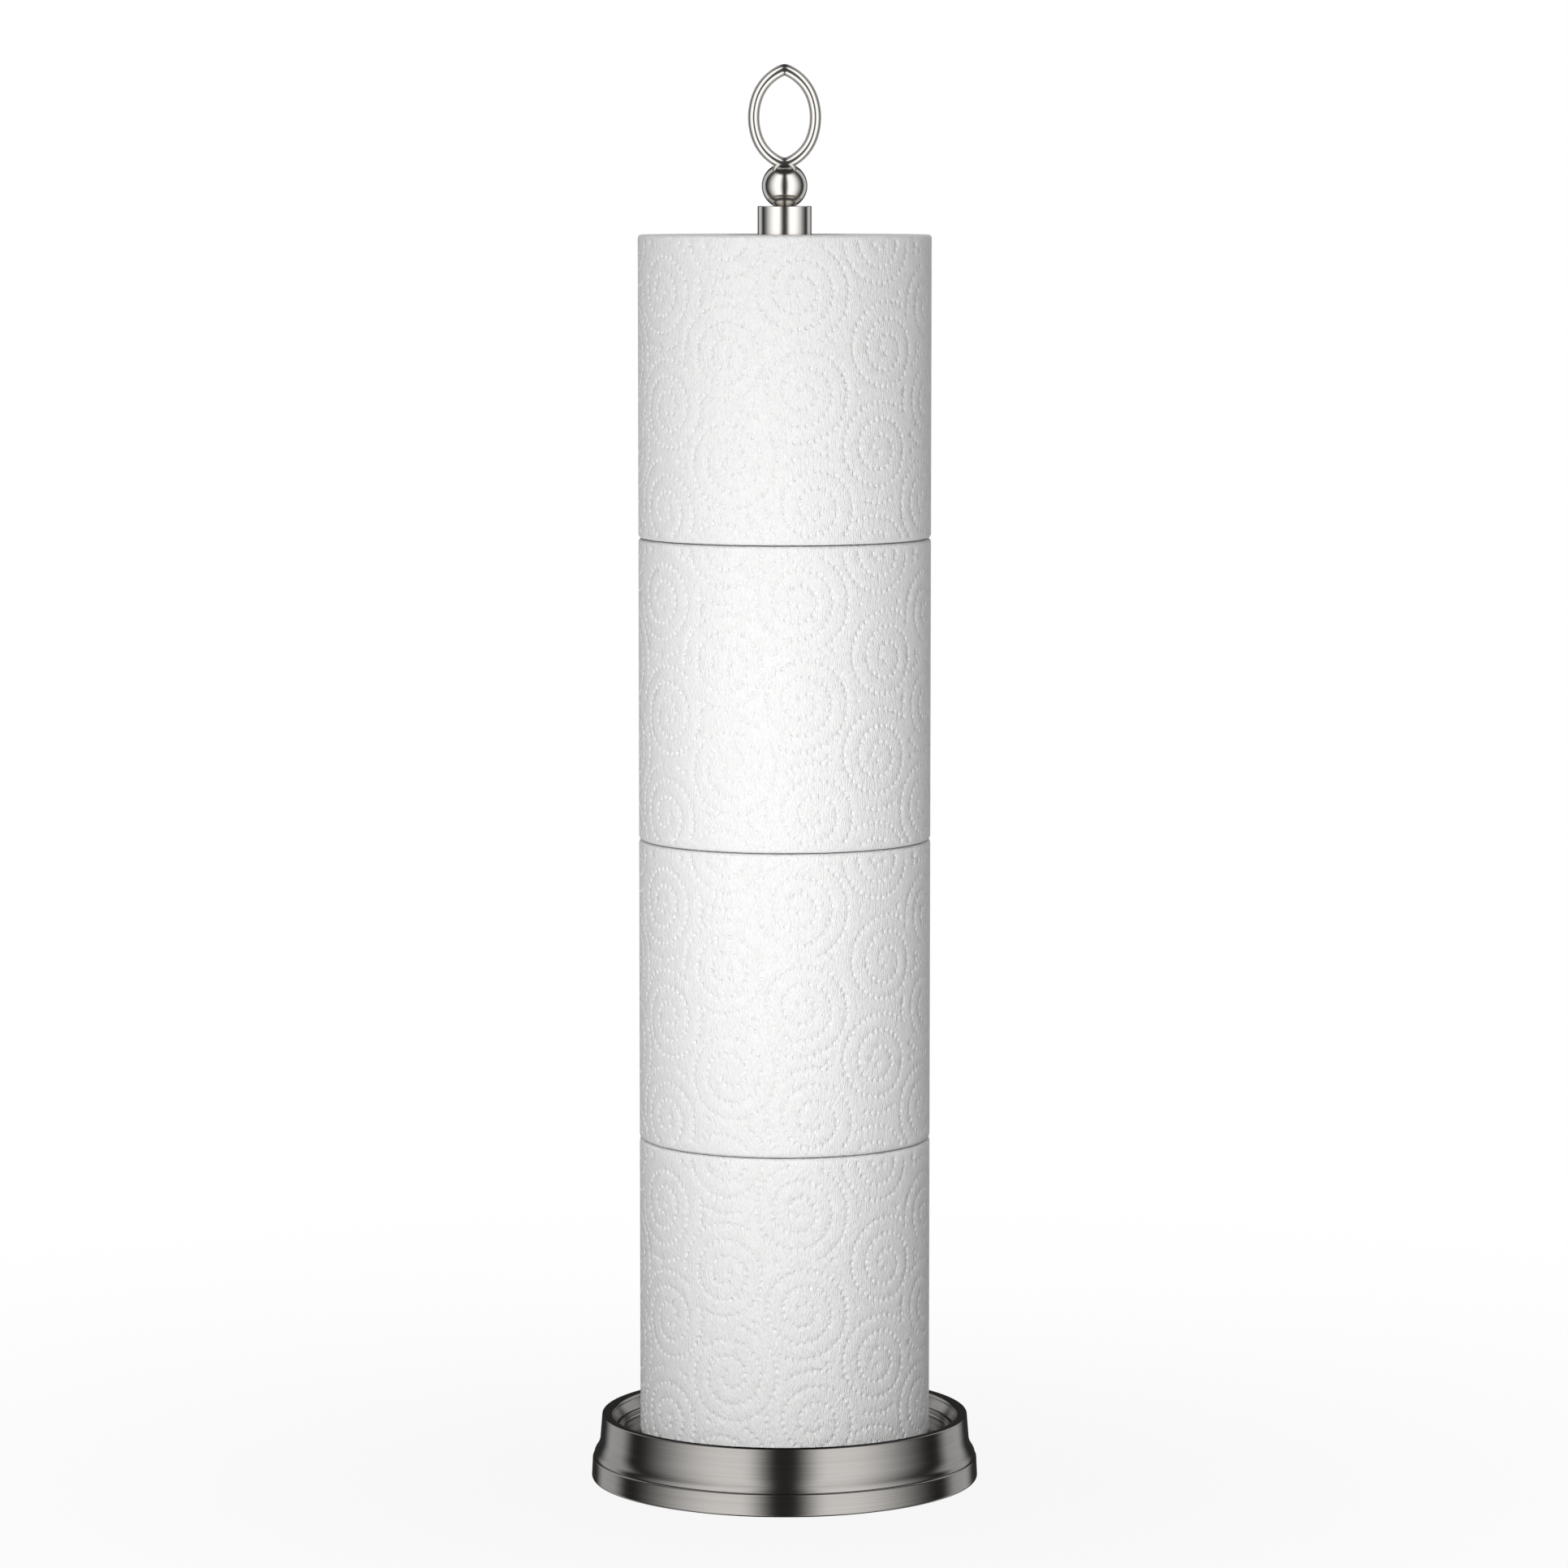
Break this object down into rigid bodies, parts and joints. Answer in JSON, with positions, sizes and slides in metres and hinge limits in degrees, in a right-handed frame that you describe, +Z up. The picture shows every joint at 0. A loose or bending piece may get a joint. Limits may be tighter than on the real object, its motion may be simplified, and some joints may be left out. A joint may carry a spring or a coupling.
{
  "type": "paper roll holder",
  "caption": "Free-standing brushed-metal paper roll holder: lipped weighted round base, upright post with ball and almond loop finial, and a stack of embossed paper rolls.",
  "frame": {"origin": "middle of the foot pad's underside, on the surface the stand rests on", "axes": "+Z up along the post; X across the flat of the finial's loop; Y through the loop, with -Y towards the viewer"},
  "size_m": [0.1388, 0.1388, 0.5058],
  "materials": {
    "brushed_nickel_base": "satin",
    "brushed_nickel_post": "satin",
    "polished_nickel_finial": "polished",
    "cast_ballast": "matte",
    "foot_foam": "matte",
    "zinc_fastener": "satin",
    "core_board": "matte",
    "tissue_paper": "matte"
  },
  "bodies": {
    "stand": {"base_shell": "brushed_nickel_base", "tray_pan": "brushed_nickel_base", "ballast_disc": "cast_ballast", "foot_pad": "foot_foam", "base_bolt": "zinc_fastener", "lock_washer": "zinc_fastener", "flat_washer": "zinc_fastener", "post_tube": "brushed_nickel_post", "post_foot_insert": "zinc_fastener", "post_top_plug": "brushed_nickel_post", "finial_stud": "zinc_fastener", "finial_ball": "polished_nickel_finial", "finial_loop": "polished_nickel_finial"},
    "roll_1_core": {"roll_1_core": "core_board"},
    "roll_1_paper": {"roll_1_paper": "tissue_paper"},
    "roll_2_core": {"roll_2_core": "core_board"},
    "roll_2_paper": {"roll_2_paper": "tissue_paper"},
    "roll_3_core": {"roll_3_core": "core_board"},
    "roll_3_paper": {"roll_3_paper": "tissue_paper"},
    "roll_4_core": {"roll_4_core": "core_board"},
    "roll_4_paper": {"roll_4_paper": "tissue_paper"}
  },
  "joints": [
    {"name": "roll_1_lift", "type": "slide", "parent": "stand", "child": "roll_1_core", "axis": [0, 0, 1], "range_m": [0, 0.5]},
    {"name": "roll_1_turn", "type": "hinge", "parent": "roll_1_core", "child": "roll_1_paper", "pos_m": [0, 0, 0.0171], "axis": [0, 0, 1], "continuous": true},
    {"name": "roll_2_lift", "type": "slide", "parent": "roll_1_core", "child": "roll_2_core", "axis": [0, 0, 1], "range_m": [0, 0.39]},
    {"name": "roll_2_turn", "type": "hinge", "parent": "roll_2_core", "child": "roll_2_paper", "pos_m": [0, 0, 0.1244], "axis": [0, 0, 1], "continuous": true},
    {"name": "roll_3_lift", "type": "slide", "parent": "roll_2_core", "child": "roll_3_core", "axis": [0, 0, 1], "range_m": [0, 0.28]},
    {"name": "roll_3_turn", "type": "hinge", "parent": "roll_3_core", "child": "roll_3_paper", "pos_m": [0, 0, 0.2317], "axis": [0, 0, 1], "continuous": true},
    {"name": "roll_4_lift", "type": "slide", "parent": "roll_3_core", "child": "roll_4_core", "axis": [0, 0, 1], "range_m": [0, 0.18]},
    {"name": "roll_4_turn", "type": "hinge", "parent": "roll_4_core", "child": "roll_4_paper", "pos_m": [0, 0, 0.339], "axis": [0, 0, 1], "continuous": true}
  ]
}
